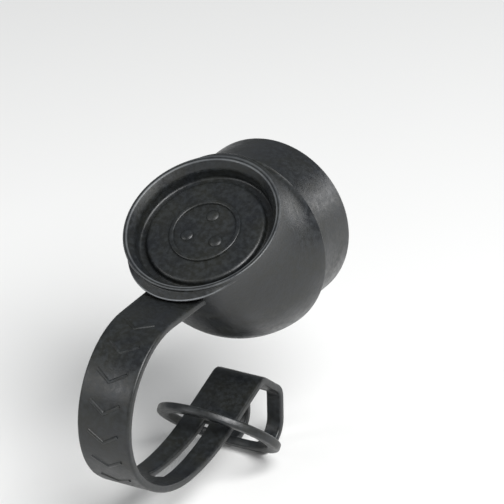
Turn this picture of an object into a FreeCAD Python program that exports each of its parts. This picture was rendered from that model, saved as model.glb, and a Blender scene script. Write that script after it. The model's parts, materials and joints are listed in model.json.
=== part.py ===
import FreeCAD, Part
import math
import os

import Sketcher

# One-piece rubber sealing cover for a round panel socket. A hollow spigot plugs into the socket along
# +Y, a skirt bends up from the seat to a tilted round head, and a flat strap leaves the head's front,
# loops round below it and ends in a ring that the strap itself runs through. The origin is on the
# spigot's axis in the seat plane. +Z is up and the head faces -Y and up.

# Each row is an alias, its value in millimetres or degrees, and what it sets.
SIZES = (
    ("spigot_radius", 7.9, "plug spigot, outside radius"),
    ("spigot_length", 6.5, "plug spigot, seat to tip"),
    ("spigot_wall", 1.3, "plug spigot, wall"),
    ("lead_in", 0.6, "bevel round the spigot's tip"),
    ("seat_radius", 8.65, "skirt, radius at the seat plane"),
    ("seat_edge", 2.5, "skirt, angle of its bend that the blunt seat edge takes"),
    ("seat_taper", 0.05, "skirt, how far the seat edge draws in"),
    ("waist_radius", 7.75, "skirt, radius half way round its bend"),
    ("waist_lift", 0.3, "skirt, how far its middle is raised towards the bend's line"),
    ("skirt_wall", 1.9, "skirt, wall beside the cavity"),
    ("head_tilt", 58.5, "head, angle of its face's normal above the horizontal"),
    ("head_reach", 7.0, "head, centre of its rim in front of the seat plane"),
    ("head_rise", 4.95, "head, centre of its rim above the spigot's axis"),
    ("rim_radius", 7.2, "head, outside radius of the rim"),
    ("rim_round", 0.3, "head, rounding of the rim's outer edge"),
    ("lip_width", 0.95, "head, rim's outside in to the dish's wall"),
    ("lip_drop", 0.75, "head, depth of the slope on the rim's inner side"),
    ("channel_width", 0.8, "head, channel round the badge plate"),
    ("channel_depth", 1.9, "head, channel floor below the rim's crest"),
    ("channel_round", 0.25, "head, rounding in the channel"),
    ("plate_drop", 1.3, "head, badge plate below the rim's crest"),
    ("floor_wall", 1.3, "head, wall between the channel and the cavity"),
    ("badge_radius", 3.3, "badge, outside radius of its ring"),
    ("badge_line", 0.45, "badge, width of its ring"),
    ("badge_dot", 0.62, "badge, radius of a dot"),
    ("badge_spread", 1.65, "badge, dots' centres from the middle"),
    ("badge_height", 0.22, "badge, height above the plate"),
    ("brow_reach", 8.1, "brow over the strap, edge from the head's axis"),
    ("brow_radius", 6.0, "brow, radius of its own edge"),
    ("brow_drop", 0.75, "brow, its underside below the rim's crest"),
    ("brow_edge", 0.25, "brow, height of its edge"),
    ("strap_drop", 4.95, "strap, top face at the root below the rim's centre"),
    ("strap_root", 3.5, "strap, start of the root in front of the rim's centre"),
    ("strap_straight", 9.4, "strap, start of the loop in front of the rim's centre"),
    ("root_width", 5.4, "strap, width at the root"),
    ("strap_width", 5.1, "strap, width along the loop"),
    ("strap_thickness", 0.7, "strap, thickness"),
    ("strap_round", 0.2, "strap, rounding of its long edges"),
    ("loop_radius", 7.45, "strap loop, middle line at the front"),
    ("loop_turn", 135.0, "strap loop, angle of the front bend"),
    ("belly_radius", 11.2, "strap loop, middle line at the bottom"),
    ("rise_radius", 20.6, "strap loop, middle line where it rises to the back"),
    ("rise_turn", 20.0, "strap loop, angle of that rise"),
    ("rise_run", 5.7, "strap, straight run up to the hook"),
    ("crown_radius", 1.0, "strap hook, middle line over its crown"),
    ("hook_slope", 38.0, "strap hook, angle of its slope behind the crown"),
    ("slope_run", 3.0, "strap hook, straight run down that slope"),
    ("hook_radius", 1.5, "strap hook, middle line round to its back"),
    ("hook_run", 2.2, "strap hook, straight run down its back"),
    ("tail_radius", 2.1, "strap hook, middle line round to the ring"),
    ("leg_gap", 2.0, "strap hook, gap between its two legs"),
    ("leg_start", 0.6, "strap hook, top of that gap above the straight run"),
    ("slit_length", 9.6, "slit in the strap, length"),
    ("slit_wide", 1.35, "slit, width at the front"),
    ("slit_narrow", 0.55, "slit, width at the ring"),
    ("ring_lean", 42.0, "end ring, lean of its plane"),
    ("ring_radius", 5.3, "end ring, middle radius"),
    ("ring_width", 1.2, "end ring, width of its band"),
    ("ring_thickness", 0.8, "end ring, thickness of its band"),
    ("ring_embed", 0.5, "end ring, how far the legs run into it"),
)

# Places that several features share, as rules over the sheet's cells.
TILT = "sizes.head_tilt * 1 deg"
BORE_RADIUS = "(sizes.spigot_radius - sizes.spigot_wall)"
DISH_RADIUS = "(sizes.rim_radius - sizes.lip_width)"
PLATE_RADIUS = f"({DISH_RADIUS} - sizes.channel_width)"
# The skirt bends about a level line where the seat plane and the rim's plane cross.
BEND_UP = f"(sizes.head_rise + sizes.head_reach / tan({TILT}))"
WAIST_ARM = f"(({BEND_UP} + sizes.head_reach / sin({TILT})) / 2 - sizes.waist_lift)"
STRAP_MIDDLE = "(sizes.head_rise - sizes.strap_drop - sizes.strap_thickness / 2)"
LOOP_START = "(sizes.head_reach + sizes.strap_straight)"
BROW_SHIFT = "(sizes.brow_reach - sizes.brow_radius)"


def on_path(name):
    """A place measured along the strap's path, as a plain number of millimetres."""
    return f"(strap_path.Constraints.{name} / 1 mm)"


def make_sheet(doc):
    """The driving dimensions, one named cell each."""
    sheet = doc.addObject("Spreadsheet::Sheet", "sizes")
    for row, (alias, value, note) in enumerate(SIZES, start=1):
        sheet.set(f"A{row}", note)
        sheet.set(f"B{row}", str(value))
        sheet.setAlias(f"B{row}", alias)
    doc.recompute()
    return sheet


def number(sketch, rule):
    """The present value of a rule, to draw a sketch near its solution."""
    found = sketch.Document.getObject("sizes").evalExpression(rule)
    return float(getattr(found, "Value", found))


def new_sketch(body, name, role, shift=(None, None, None), axis=(1, 0, 0), turn=None):
    """A sketch on one of the body's origin planes, shifted and turned in that plane's own axes."""
    plane = next(item for item in body.Origin.OriginFeatures if item.Role == role)
    sketch = body.newObject("Sketcher::SketchObject", name)
    sketch.AttachmentSupport = (plane, [""])
    sketch.MapMode = "FlatFace"
    if turn:
        start = FreeCAD.Rotation(FreeCAD.Vector(*axis), 1.0)
        sketch.AttachmentOffset = FreeCAD.Placement(FreeCAD.Vector(), start)
        sketch.setExpression("AttachmentOffset.Rotation.Angle", turn)
    for letter, rule in zip("xyz", shift):
        if rule:
            sketch.setExpression(f"AttachmentOffset.Base.{letter}", rule)
    return sketch


def hold(sketch, name, rule, kind, *where):
    """Add a dimension to a sketch and bind it to a rule."""
    value = number(sketch, rule)
    if kind == "Angle":
        value = math.radians(value)
    index = sketch.addConstraint(Sketcher.Constraint(kind, *where, value))
    sketch.renameConstraint(index, name)
    sketch.setExpression(f"Constraints.{name}", rule)


def place_point(sketch, name, geometry, position, x_rule, y_rule):
    """Hold a point at a distance along both axes from the sketch's origin."""
    hold(sketch, f"{name}_x", x_rule, "DistanceX", -1, 1, geometry, position)
    hold(sketch, f"{name}_y", y_rule, "DistanceY", -1, 1, geometry, position)


def circle(sketch, name, radius_rule, x_rule="0", y_rule="0"):
    """A circle about the sketch's origin, or about a held point."""
    middle = FreeCAD.Vector(number(sketch, x_rule), number(sketch, y_rule), 0)
    ring = Part.Circle(middle, FreeCAD.Vector(0, 0, 1), number(sketch, radius_rule))
    index = sketch.addGeometry(ring, False)
    if (x_rule, y_rule) == ("0", "0"):
        sketch.addConstraint(Sketcher.Constraint("Coincident", index, 3, -1, 1))
    else:
        place_point(sketch, f"{name}_middle", index, 3, x_rule, y_rule)
    hold(sketch, f"{name}_radius", radius_rule, "Radius", index)


def outline(sketch, corners):
    """A closed outline. Each corner is an x rule, a y rule and a rounding rule or None."""
    points = [FreeCAD.Vector(number(sketch, x), number(sketch, y), 0) for x, y, _ in corners]
    count = len(corners)
    starts = list(points)
    ends = list(points)
    for index, (_, _, rounding) in enumerate(corners):
        if rounding:
            back = (points[index - 1] - points[index]).normalize()
            ahead = (points[(index + 1) % count] - points[index]).normalize()
            cut = number(sketch, rounding) / math.tan(back.getAngle(ahead) / 2)
            ends[index] = points[index] + back * cut
            starts[index] = points[index] + ahead * cut
    sides = []
    for index in range(count):
        side = Part.LineSegment(starts[index], ends[(index + 1) % count])
        sides.append(sketch.addGeometry(side, False))
    for index, (x_rule, y_rule, rounding) in enumerate(corners):
        before = sides[index - 1]
        after = sides[index]
        if rounding:
            round_corner(sketch, index, before, after, corners[index])
        else:
            sketch.addConstraint(Sketcher.Constraint("Coincident", before, 2, after, 1))
            place_point(sketch, f"corner{index}", after, 1, x_rule, y_rule)


def round_corner(sketch, index, before, after, corner):
    """An arc between two sides whose lines still cross at the held corner point."""
    x_rule, y_rule, rounding = corner
    point = FreeCAD.Vector(number(sketch, x_rule), number(sketch, y_rule), 0)
    first = sketch.getPoint(before, 2)
    last = sketch.getPoint(after, 1)
    inward = ((first + last) * 0.5 - point).normalize()
    reach = math.hypot(number(sketch, rounding), (first - point).Length)
    middle = point + inward * reach
    turns_left = (first - middle).cross(last - middle).z > 0
    begin, finish = (first, last) if turns_left else (last, first)
    angles = [math.atan2((tip - middle).y, (tip - middle).x) for tip in (begin, finish)]
    ring = Part.Circle(middle, FreeCAD.Vector(0, 0, 1), number(sketch, rounding))
    arc = sketch.addGeometry(Part.ArcOfCircle(ring, angles[0], angles[1]), False)
    mark = sketch.addGeometry(Part.Point(point), True)
    sketch.addConstraint(Sketcher.Constraint("Tangent", before, 2, arc, 1 if turns_left else 2))
    sketch.addConstraint(Sketcher.Constraint("Tangent", after, 1, arc, 2 if turns_left else 1))
    sketch.addConstraint(Sketcher.Constraint("PointOnObject", mark, 1, before))
    sketch.addConstraint(Sketcher.Constraint("PointOnObject", mark, 1, after))
    place_point(sketch, f"corner{index}", mark, 1, x_rule, y_rule)
    hold(sketch, f"corner{index}_round", rounding, "Radius", arc)


def band_section(sketch, width, thickness, rounding, offset="0"):
    """A rounded rectangle about the origin, or moved along x by an offset."""
    left = f"{offset} - {width} / 2"
    right = f"{offset} + {width} / 2"
    low = f"-{thickness} / 2"
    high = f"{thickness} / 2"
    places = ((left, low), (right, low), (right, high), (left, high))
    outline(sketch, [(x_rule, y_rule, rounding) for x_rule, y_rule in places])


class Route:
    """A chain of tangent arcs and lines in a sketch, drawn one run after another."""

    def __init__(self, sketch, x_rule, y_rule, heading):
        self.sketch = sketch
        self.start_rules = (x_rule, y_rule)
        self.place = FreeCAD.Vector(number(sketch, x_rule), number(sketch, y_rule), 0)
        self.heading = heading
        self.end = None

    def join(self, geometry, first):
        """Tie the first point of a new run to the end of the run before it."""
        if self.end:
            self.sketch.addConstraint(Sketcher.Constraint("Tangent", *self.end, geometry, first))
        else:
            place_point(self.sketch, "start", geometry, first, *self.start_rules)
            level = Sketcher.Constraint("Vertical", geometry, 3, geometry, first)
            self.sketch.addConstraint(level)

    def arc(self, name, radius_rule, turn_rule, side):
        """Turn left (side 1) or right (side -1) through an angle about a radius."""
        radius = number(self.sketch, radius_rule)
        turn = side * math.radians(number(self.sketch, turn_rule))
        middle = self.place + FreeCAD.Vector(
            -side * radius * math.sin(self.heading), side * radius * math.cos(self.heading), 0)
        start = self.heading - side * math.pi / 2
        finish = start + turn
        ring = Part.Circle(middle, FreeCAD.Vector(0, 0, 1), radius)
        low, high = sorted((start, finish))
        geometry = self.sketch.addGeometry(Part.ArcOfCircle(ring, low, high), False)
        first, last = (1, 2) if side > 0 else (2, 1)
        self.join(geometry, first)
        hold(self.sketch, f"{name}_radius", radius_rule, "Radius", geometry)
        hold(self.sketch, f"{name}_turn", turn_rule, "Angle", geometry)
        self.place = middle + FreeCAD.Vector(math.cos(finish), math.sin(finish), 0) * radius
        self.heading += turn
        self.end = (geometry, last)

    def line(self, name, length_rule, construction=False):
        """Go straight on for a length."""
        ahead = FreeCAD.Vector(math.cos(self.heading), math.sin(self.heading), 0)
        finish = self.place + ahead * number(self.sketch, length_rule)
        geometry = self.sketch.addGeometry(Part.LineSegment(self.place, finish), construction)
        self.join(geometry, 1)
        hold(self.sketch, f"{name}_length", length_rule, "Distance", geometry)
        self.place = finish
        self.end = (geometry, 2)

    def measure(self, name):
        """Name the route's present end, for other features to read."""
        for letter, kind, value in (("y", "DistanceX", self.place.x), ("z", "DistanceY", self.place.y)):
            rule = Sketcher.Constraint(kind, -1, 1, *self.end, value)
            index = self.sketch.addConstraint(rule)
            self.sketch.setDriving(index, False)
            self.sketch.renameConstraint(index, f"{name}_{letter}")


def feature(body, kind, name, profile):
    """A feature of the body made from one profile sketch."""
    made = body.newObject(f"PartDesign::{kind}", name)
    made.Profile = profile
    return made


def loft(body, kind, name, sections):
    """A solid or a cut drawn through several sections."""
    made = feature(body, kind, name, sections[0])
    made.Sections = [(section, [""]) for section in sections[1:]]
    return made


def turned(body, kind, name, sketch, axis="V_Axis"):
    """A full turn of a profile about one of its sketch's own axes."""
    made = feature(body, kind, name, sketch)
    made.ReferenceAxis = (sketch, [axis])
    made.Angle = 360
    return made


def head_plane(body, name, drop):
    """A sketch across the head's axis, below the rim's crest. Its x is level, its y runs up the face."""
    rise = f"sizes.head_rise - {drop} * sin({TILT})"
    reach = f"sizes.head_reach - {drop} * cos({TILT})"
    return new_sketch(body, name, "XZ_Plane", (None, rise, reach), turn="-sizes.head_tilt")


def head_side(body, name, shift="0"):
    """A sketch along the head's axis. Its y is that axis, its x runs up the face to the back."""
    back = f"-sizes.head_reach - {shift} * sin({TILT})"
    rise = f"sizes.head_rise - {shift} * cos({TILT})"
    return new_sketch(body, name, "YZ_Plane", (back, rise, None), (0, 0, 1), "90 - sizes.head_tilt")


def highest_edge(shape):
    """The name of the closed edge round the rim, which of all closed edges lies highest."""
    edges = enumerate(shape.Edges, start=1)
    heights = [(edge.CenterOfMass.z, index) for index, edge in edges if edge.isClosed()]
    return f"Edge{max(heights)[1]}"


def bend_plane(body, name, angle, arm):
    """A sketch part way round the skirt's bend, at an angle and a distance from the bend's line."""
    rise = f"{BEND_UP} - {arm} * cos({angle} * 1 deg)"
    reach = f"{arm} * sin({angle} * 1 deg)"
    return new_sketch(body, name, "XZ_Plane", (None, rise, reach), turn=f"-({angle})")


def make_skirt(body):
    """The outside of the cap, bending up from the seat circle to the tilted rim."""
    seat = new_sketch(body, "seat_circle", "XZ_Plane")
    circle(seat, "seat", "sizes.seat_radius")
    edge = bend_plane(body, "seat_edge_circle", "sizes.seat_edge", BEND_UP)
    circle(edge, "edge", "sizes.seat_radius - sizes.seat_taper")
    waist = bend_plane(body, "waist_circle", "sizes.head_tilt / 2", WAIST_ARM)
    circle(waist, "waist", "sizes.waist_radius")
    top = head_plane(body, "rim_circle", "0")
    circle(top, "rim", "sizes.rim_radius")
    skirt = loft(body, "AdditiveLoft", "skirt", (seat, edge, waist, top))
    body.Document.recompute()
    crest = body.newObject("PartDesign::Fillet", "crest")
    crest.Base = (skirt, [highest_edge(skirt.Shape)])
    crest.setExpression("Radius", "sizes.rim_round")


def make_brow(body):
    """A ledge under the rim that shelters the strap's root and fades into the skirt beside it."""
    sketch = head_side(body, "brow_profile", BROW_SHIFT)
    shoulder = f"sizes.rim_radius - {BROW_SHIFT}"
    upper = "-(sizes.brow_drop - sizes.brow_edge)"
    lower = "-sizes.brow_drop"
    outline(sketch, (
        ("0", "-sizes.rim_round", None),
        (shoulder, "-sizes.rim_round", None),
        ("sizes.brow_radius", upper, "sizes.brow_edge / 3"),
        ("sizes.brow_radius", lower, "sizes.brow_edge / 3"),
        ("0", lower, None),
    ))
    turned(body, "Revolution", "brow", sketch)


def make_dish(body):
    """The sunk dish: a sloped lip, then a channel round a flat badge plate."""
    sketch = head_side(body, "dish_profile")
    above = "sizes.rim_round"
    floor = "-sizes.channel_depth"
    shoulder = f"({DISH_RADIUS} + (sizes.lip_width - sizes.rim_round) * 3 / 5)"
    top = f"({shoulder} + sizes.rim_round)"
    outline(sketch, (
        ("0", "-sizes.plate_drop", None),
        (PLATE_RADIUS, "-sizes.plate_drop", "sizes.channel_round / 2"),
        (PLATE_RADIUS, floor, "sizes.channel_round"),
        (DISH_RADIUS, floor, "sizes.channel_round"),
        (DISH_RADIUS, "-sizes.lip_drop", "sizes.channel_round"),
        (shoulder, "-sizes.rim_round / 4", "sizes.rim_round"),
        (top, above, None),
        ("0", above, None),
    ))
    turned(body, "Groove", "dish", sketch)


def make_cavity(body):
    """The hollow of the skirt, from the spigot's bore to under the head."""
    mouth = new_sketch(body, "cavity_mouth", "XZ_Plane")
    circle(mouth, "mouth", BORE_RADIUS)
    depth = "(sizes.channel_depth + sizes.floor_wall)"
    roof = head_plane(body, "cavity_roof", depth)
    circle(roof, "roof", "sizes.rim_radius - sizes.skirt_wall")
    loft(body, "SubtractiveLoft", "cavity", (mouth, roof))


def make_spigot(body):
    """The plain hollow plug behind the seat."""
    sketch = new_sketch(body, "spigot_profile", "YZ_Plane")
    outline(sketch, (
        ("0", BORE_RADIUS, None),
        ("sizes.spigot_length", BORE_RADIUS, None),
        ("sizes.spigot_length", "sizes.spigot_radius - sizes.lead_in", None),
        ("sizes.spigot_length - sizes.lead_in", "sizes.spigot_radius", None),
        ("0", "sizes.spigot_radius", None),
    ))
    turned(body, "Revolution", "spigot", sketch, "H_Axis")


def make_badge(body):
    """A raised ring with three dots on the plate, as a plain mark for a three-pin socket."""
    sketch = head_plane(body, "badge_marks", "sizes.plate_drop")
    circle(sketch, "ring_outside", "sizes.badge_radius")
    circle(sketch, "ring_inside", "sizes.badge_radius - sizes.badge_line")
    for index, angle in enumerate((90, 210, 330)):
        x_rule = f"sizes.badge_spread * cos({angle} deg)"
        y_rule = f"sizes.badge_spread * sin({angle} deg)"
        circle(sketch, f"dot{index}", "sizes.badge_dot", x_rule, y_rule)
    badge = feature(body, "Pad", "badge", sketch)
    badge.setExpression("Length", "sizes.badge_height")


def strap_section(body, name, width, reach):
    """The strap's cross-section at a distance in front of the seat plane."""
    sketch = new_sketch(body, name, "XZ_Plane", (None, STRAP_MIDDLE, reach))
    band_section(sketch, width, "sizes.strap_thickness", "sizes.strap_round")
    return sketch


def make_strap(body):
    """The tapering root, then the band round the loop, over the hook and on to the ring."""
    root_start = "sizes.head_reach + sizes.strap_root"
    start = strap_section(body, "root_section", "sizes.root_width", root_start)
    finish = strap_section(body, "root_end_section", "sizes.strap_width", LOOP_START)
    loft(body, "AdditiveLoft", "strap_root", (start, finish))

    path = new_sketch(body, "strap_path", "YZ_Plane")
    route = Route(path, f"-{LOOP_START}", STRAP_MIDDLE, math.pi)
    route.arc("front", "sizes.loop_radius", "sizes.loop_turn", 1)
    route.arc("belly", "sizes.belly_radius", "180 - sizes.loop_turn", 1)
    route.arc("rise", "sizes.rise_radius", "sizes.rise_turn", 1)
    route.line("rise", "sizes.rise_run")
    route.arc("crown", "sizes.crown_radius", "sizes.rise_turn + sizes.hook_slope", -1)
    route.line("slope", "sizes.slope_run")
    route.arc("hook", "sizes.hook_radius", "90 - sizes.hook_slope", -1)
    route.measure("hook_end")
    route.line("hook", "sizes.hook_run")
    route.arc("tail", "sizes.tail_radius", "90 + sizes.ring_lean", -1)
    route.line("tail", "sizes.ring_embed")
    route.measure("strap_end")
    route.line("ring", "sizes.ring_radius - sizes.ring_embed", construction=True)
    route.measure("ring")

    section = strap_section(body, "strap_section", "sizes.strap_width", LOOP_START)
    strap = feature(body, "AdditivePipe", "strap", section)
    strap.Spine = (path, [""])
    strap.Mode = "Binormal"
    strap.Binormal = FreeCAD.Vector(1, 0, 0)


def make_slit(body):
    """A tapering lengthwise slit through the bottom of the loop."""
    level = f"{STRAP_MIDDLE} - sizes.loop_radius"
    sketch = new_sketch(body, "slit_outline", "XY_Plane", (None, None, level))
    front = f"-{LOOP_START}"
    back = f"-{LOOP_START} + sizes.slit_length"
    rounding = "sizes.slit_wide / 3"
    outline(sketch, (
        ("-sizes.slit_wide / 2", front, rounding),
        ("sizes.slit_wide / 2", front, rounding),
        ("sizes.slit_narrow / 2", back, None),
        ("-sizes.slit_narrow / 2", back, None),
    ))
    slit = feature(body, "Pocket", "slit", sketch)
    slit.Type = "ThroughAll"


def make_leg_gap(body):
    """The opening that splits the hook's back into two legs."""
    sketch = new_sketch(body, "leg_gap_outline", "YZ_Plane")
    behind = f"{on_path('hook_end_y')} + sizes.strap_thickness"
    front = on_path("strap_end_y")
    top = f"{on_path('hook_end_z')} + sizes.leg_start"
    bottom = f"{on_path('hook_end_z')} - sizes.hook_run - sizes.tail_radius - sizes.strap_thickness"
    outline(sketch, (
        (behind, bottom, None),
        (behind, top, None),
        (front, top, None),
        (front, bottom, None),
    ))
    gap = feature(body, "Pocket", "leg_gap", sketch)
    gap.SideType = "Symmetric"
    gap.setExpression("Length", "sizes.leg_gap")


def make_ring(body):
    """The flat ring at the strap's end, leaning so that the strap runs through it."""
    place = (on_path("ring_y"), on_path("ring_z"), None)
    sketch = new_sketch(body, "ring_section", "YZ_Plane", place, (0, 0, 1), "-sizes.ring_lean")
    band_section(
        sketch, "sizes.ring_width", "sizes.ring_thickness", "sizes.strap_round", "sizes.ring_radius")
    turned(body, "Revolution", "ring", sketch)


def check(doc, body):
    """Stop if any object failed or the body is not one sound solid."""
    for item in doc.Objects:
        if {"Invalid", "Error"} & set(item.State):
            raise RuntimeError(f"{item.Name} failed: {item.State}")
    shape = body.Shape
    if shape.isNull() or not shape.isValid() or len(shape.Solids) != 1:
        raise RuntimeError("the cover is not one sound solid")


def main():
    doc = FreeCAD.newDocument("sealing_cover")
    make_sheet(doc)
    body = doc.addObject("PartDesign::Body", "sealing_cover")
    body.Label = "sealing_cover"
    steps = (make_skirt, make_brow, make_dish, make_cavity, make_spigot, make_badge,
             make_strap, make_slit, make_leg_gap, make_ring)
    for step in steps:
        step(body)
        doc.recompute()
    check(doc, body)
    os.makedirs("parts", exist_ok=True)
    body.Shape.exportStep(os.path.join("parts", f"{body.Label}.step"))


main()
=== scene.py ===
"""Looks of a moulded rubber sealing cover: dished head, bent skirt, hollow plug and looped strap."""

import json
import math

import bmesh
import bpy
from mathutils import Matrix, Vector


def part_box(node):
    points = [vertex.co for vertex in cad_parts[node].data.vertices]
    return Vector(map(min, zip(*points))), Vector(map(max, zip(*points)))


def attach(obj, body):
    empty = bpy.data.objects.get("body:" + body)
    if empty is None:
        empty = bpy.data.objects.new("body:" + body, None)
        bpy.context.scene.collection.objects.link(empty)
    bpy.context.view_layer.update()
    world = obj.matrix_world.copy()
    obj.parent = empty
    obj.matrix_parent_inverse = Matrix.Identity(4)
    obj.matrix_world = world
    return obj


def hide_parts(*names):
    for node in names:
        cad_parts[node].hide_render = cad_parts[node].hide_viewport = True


bl_info = {
    "name": "Sealing cover",
    "version": (1, 0, 0),
    "blender": (4, 5, 0),
    "location": "3D View > Sidebar > Cover",
    "description": "Builds a moulded rubber sealing cover with a looped strap and its studio",
    "category": "Object",
}

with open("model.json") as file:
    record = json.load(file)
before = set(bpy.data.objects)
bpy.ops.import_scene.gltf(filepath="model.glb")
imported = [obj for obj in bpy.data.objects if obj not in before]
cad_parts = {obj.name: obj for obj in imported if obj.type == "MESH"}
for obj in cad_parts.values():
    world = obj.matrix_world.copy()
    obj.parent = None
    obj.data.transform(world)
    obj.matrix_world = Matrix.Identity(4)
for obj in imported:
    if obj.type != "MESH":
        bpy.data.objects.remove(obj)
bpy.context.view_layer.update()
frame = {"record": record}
NODE = "sealing_cover"
BODY = "root"
MOUNTS = {mount["name"]: mount["dims"] for mount in frame["record"]["mounts"]}
LOW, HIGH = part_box(NODE)
MM = 0.001
ACROSS = Vector((1, 0, 0))
# How much each point of a piece is paled, partly by abrasion and partly as a painted highlight on the
# crests and the brow's lip, as a share that the rubber reads.
WEAR_AND_HIGHLIGHT = "edge_wear_and_highlight"
# Edges that turn by more than this are shaded sharp.
SHARP_TURN = math.radians(40)

# How finely the cap's section is drawn.
ARC_STEPS = 5
PLATE_SHARES = (0.3, 0.6, 0.85)
SKIRT_ROWS = 26
HOLLOW_ROWS = 6
# An arc takes at most this share of the side next to its corner.
MOST_CUT = 0.45
# Faces between the slit and each side of the strap.
STRAP_LANES = 5
# How finely the swept bands, ribs and dots are drawn.
ROUNDING_STEPS = 4
RING_POINTS = 120
BADGE_POINTS = 96
DOT_SEGMENTS = 32
DOT_RINGS = 16
BEAD_POINTS = 14
# An odd number puts one point on a chevron's fold.
CHEVRON_POINTS = 27
# A spline follows an arc well up to this turn, and is drawn with this many points between its knots.
SPLINE_TURN = math.radians(30)
SPLINE_POINTS = 24

# Where the soft lights stand, and their width and height, in metres.
KEY_PLACE = (0.27, -0.16, 0.33)
KEY_SIZE = (0.3, 0.3)
BACK_PLACE = (0.2, 0.4, 0.08)
BACK_SIZE = (0.2, 0.14)
FRONT_PLACE = (-0.26, -0.33, 0.20)
FRONT_SIZE = (0.2, 0.2)
# The even light is a little cool.
SKY_TINT = (0.94, 0.97, 1, 1)
FLOOR_HALF = 2.0
FILM_WIDTH = 36


def linear(code):
    """An sRGB hex colour as linear red, green and blue."""
    parts = [int(code[start:start + 2], 16) / 255 for start in (1, 3, 5)]
    return [part / 12.92 if part <= 0.04045 else ((part + 0.055) / 1.055) ** 2.4 for part in parts]


def length(label, millimetres, note):
    """A length that a user may change, given in millimetres and kept in metres."""
    return bpy.props.FloatProperty(
        name=label, description=note, default=millimetres * MM, unit="LENGTH", precision=5)


def angle(label, degrees, note):
    """An angle that a user may change, given in degrees."""
    return bpy.props.FloatProperty(
        name=label, description=note, default=math.radians(degrees), subtype="ANGLE")


def share(label, value, note):
    """A plain number that a user may change."""
    return bpy.props.FloatProperty(name=label, description=note, default=value)


def count(label, value, note):
    """A whole number that a user may change."""
    return bpy.props.IntProperty(name=label, description=note, default=value, min=1)


def colour(label, code, note):
    """A colour that a user may change, given as an sRGB hex value."""
    return bpy.props.FloatVectorProperty(
        name=label, description=note, default=linear(code), subtype="COLOR", min=0, max=1)


class CapSizes(bpy.types.PropertyGroup):
    """Sizes of the head, the skirt and the plug."""

    seat_radius: length("Seat radius", HIGH.x / MM, "Skirt in the seat plane")
    seat_edge: angle("Seat edge", 2.5, "Height of the blunt edge round the seat, about the bend's line")
    seat_taper: length("Seat taper", 0.05, "How much the blunt edge narrows")
    waist_radius: length("Waist radius", 7.75, "Skirt half way round its bend")
    waist_lift: length("Waist lift", 0.3, "How far the skirt's middle is raised towards the bend's line")
    head_tilt: angle("Head tilt", 58.5, "Rim's plane against the seat plane")
    head_reach: length("Head reach", 7.0, "Centre of the rim in front of the seat plane")
    head_rise: length("Head rise", 4.95, "Centre of the rim above the plug's axis")
    rim_radius: length("Rim radius", 7.2, "Outside of the rim")
    rim_round: length("Rim rounding", 0.3, "Rounding of the rim's outer edge")
    lip_width: length("Lip width", 0.95, "From the outside of the rim to the dish")
    lip_drop: length("Lip drop", 0.75, "Foot of the sloped lip below the crest")
    channel_width: length("Channel width", 0.8, "Channel round the badge plate")
    channel_depth: length("Channel depth", 1.9, "Channel's floor below the crest")
    channel_round: length("Channel rounding", 0.25, "Rounding in the channel")
    plate_drop: length("Plate drop", 1.3, "Badge plate below the crest")
    brow_reach: length("Brow reach", 8.1, "Brow's lip from the head's axis")
    brow_radius: length("Brow radius", 6.0, "Curve of the brow's lip")
    brow_drop: length("Brow drop", 0.75, "Brow's underside below the crest")
    brow_edge: length("Brow edge", 0.25, "Height of the brow's blunt edge")
    plug_radius: length("Plug radius", MOUNTS["spigot"]["r_mm"], "Outside of the plug")
    plug_length: length("Plug length", HIGH.y / MM, "Plug behind the seat plane")
    plug_lead: length("Plug lead-in", 0.6, "Bevel at the plug's tip")
    bore_radius: length("Bore radius", MOUNTS["spigot_bore"]["r_mm"], "Inside of the plug")
    roof_radius: length("Roof radius", 5.3, "Flat roof of the hollow under the head")
    roof_drop: length("Roof drop", 3.2, "Roof of the hollow below the crest")
    lip_share: share("Lip share", 0.9, "Sloped lip's share of the way from the dish to the rim's rounding")
    # The crest's inner and outer edges are painted pale: partly abrasion, partly a painted highlight line.
    shoulder_wear_and_highlight: share("Shoulder wear", 0.4, "Wear on the inner edge of the rim's crest")
    crest_wear_and_highlight: share("Crest wear", 0.25, "Wear on the outer edge of the rim's crest")
    turns: count("Sections", 168, "Sections round the cap")


class StrapSizes(bpy.types.PropertyGroup):
    """Sizes of the strap and of the route that it follows."""

    root_reach: length("Root reach", 10.5, "Start of the strap in front of the seat plane")
    level: length("Level", -0.35, "Middle of the strap's root above the plug's axis")
    root_run: length("Root run", 5.9, "Straight root in front of the skirt")
    root_width: length("Root width", 5.4, "Width where the strap leaves the skirt")
    width: length("Width", 5.1, "Width along the loop")
    thickness: length("Thickness", 0.7, "Thickness of the strap")
    edge_round: length("Edge rounding", 0.2, "Rounding of the strap's edges")
    front_radius: length("Front radius", 7.45, "Front of the loop")
    front_turn: angle("Front turn", 135, "How far the front of the loop turns")
    belly_radius: length("Belly radius", 11.2, "Bottom of the loop")
    rise_radius: length("Rise radius", 20.6, "Strap as it rises to the hook")
    rise_turn: angle("Rise turn", 20, "Slope of the strap before the hook")
    rise_run: length("Rise run", 5.7, "Straight run before the hook")
    crown_radius: length("Crown radius", 1.0, "Bend over the hook's crown")
    hook_slope: angle("Hook slope", 38, "Slope of the hook behind its crown")
    slope_run: length("Slope run", 3.0, "Straight run down that slope")
    hook_radius: length("Hook radius", 1.5, "Bend from the slope to the hook's back")
    hook_run: length("Hook run", 2.2, "Straight run behind the hook")
    tail_radius: length("Tail radius", 2.1, "Bend from the hook's back to the ring")
    tail_run: length("Tail run", 0.5, "End of the legs inside the ring")
    slit_start: length("Slit start", 29.57, "Slit's wide end, along the strap from its root")
    slit_length: length("Slit length", 9.77, "Length of the slit")
    slit_wide: length("Slit wide", 1.35, "Slit's width at its start")
    slit_narrow: length("Slit narrow", 0.55, "Slit's width at its end")
    leg_start: length("Leg start", 0.6, "Start of the legs before the hook's end")
    leg_gap: length("Leg gap", 2.0, "Gap between the legs")
    step: length("Row step", 0.32, "Distance between rows along the strap")


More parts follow.
